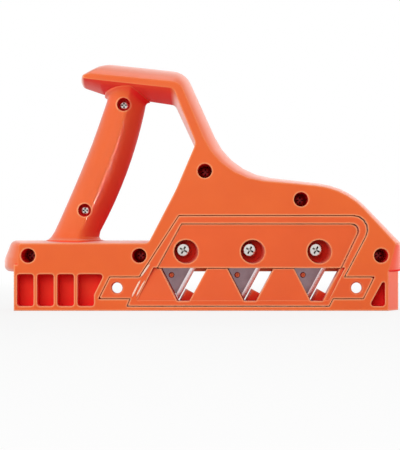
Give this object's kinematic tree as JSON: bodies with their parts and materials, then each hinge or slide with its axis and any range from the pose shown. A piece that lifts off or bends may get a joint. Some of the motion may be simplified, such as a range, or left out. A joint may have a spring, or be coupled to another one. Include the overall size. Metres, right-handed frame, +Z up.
{
  "type": "drywall edge plane",
  "caption": "Hand plane of moulded plastic with an open D handle, a side fence and slanted clamped utility blades, for trimming the edges of drywall boards.",
  "frame": {"origin": "middle of the bounding box's bottom: on the fence's underside, in the middle of the length and of the depth", "axes": "+X along the sole towards the nose, +Z up to the handle, -Y the side that carries the fence and the blades"},
  "size_m": [0.2616, 0.044, 0.1611],
  "materials": {
    "orange_plastic": "glossy moulded ABS",
    "blade_steel": "ground tool steel",
    "plated_steel": "bright zinc plate",
    "brass": "plain turned brass"
  },
  "bodies": {
    "body": {"near_shell": "orange_plastic", "far_shell": "orange_plastic", "cutter_block": "orange_plastic", "blade_1": "blade_steel", "blade_2": "blade_steel", "blade_3": "blade_steel", "clamp_insert_1": "brass", "clamp_insert_2": "brass", "clamp_insert_3": "brass", "case_screw_1": "plated_steel", "case_screw_2": "plated_steel", "case_screw_3": "plated_steel", "case_screw_4": "plated_steel", "case_screw_5": "plated_steel", "grip_screw_upper": "plated_steel", "grip_screw_lower": "plated_steel"},
    "clamp": {"clamp_plate": "orange_plastic", "clamp_washer_1": "plated_steel", "clamp_washer_2": "plated_steel", "clamp_washer_3": "plated_steel"},
    "screw_1": {"clamp_screw_1": "plated_steel"},
    "screw_2": {"clamp_screw_2": "plated_steel"},
    "screw_3": {"clamp_screw_3": "plated_steel"}
  },
  "joints": [
    {"name": "clamp_plate_lift", "type": "slide", "parent": "body", "child": "clamp", "axis": [0.2128, -0.9703, -0.1151], "range_m": [0, 0.0028]},
    {"name": "clamp_screw_1_turn", "type": "hinge", "parent": "clamp", "child": "screw_1", "pos_m": [-0.01355, -0.01103, 0.03964], "axis": [0.2128, -0.9703, -0.1151], "range_deg": [0, 1440]},
    {"name": "clamp_screw_2_turn", "type": "hinge", "parent": "clamp", "child": "screw_2", "pos_m": [0.02915, -0.01103, 0.03964], "axis": [0.2128, -0.9703, -0.1151], "range_deg": [0, 1440]},
    {"name": "clamp_screw_3_turn", "type": "hinge", "parent": "clamp", "child": "screw_3", "pos_m": [0.07185, -0.01103, 0.03964], "axis": [0.2128, -0.9703, -0.1151], "range_deg": [0, 1440]}
  ],
  "couplings": [
    {"joint": "clamp_screw_1_turn", "follows": "clamp_plate_lift", "rad_per_m": 8975.9},
    {"joint": "clamp_screw_2_turn", "follows": "clamp_plate_lift", "rad_per_m": 8975.9},
    {"joint": "clamp_screw_3_turn", "follows": "clamp_plate_lift", "rad_per_m": 8975.9}
  ]
}
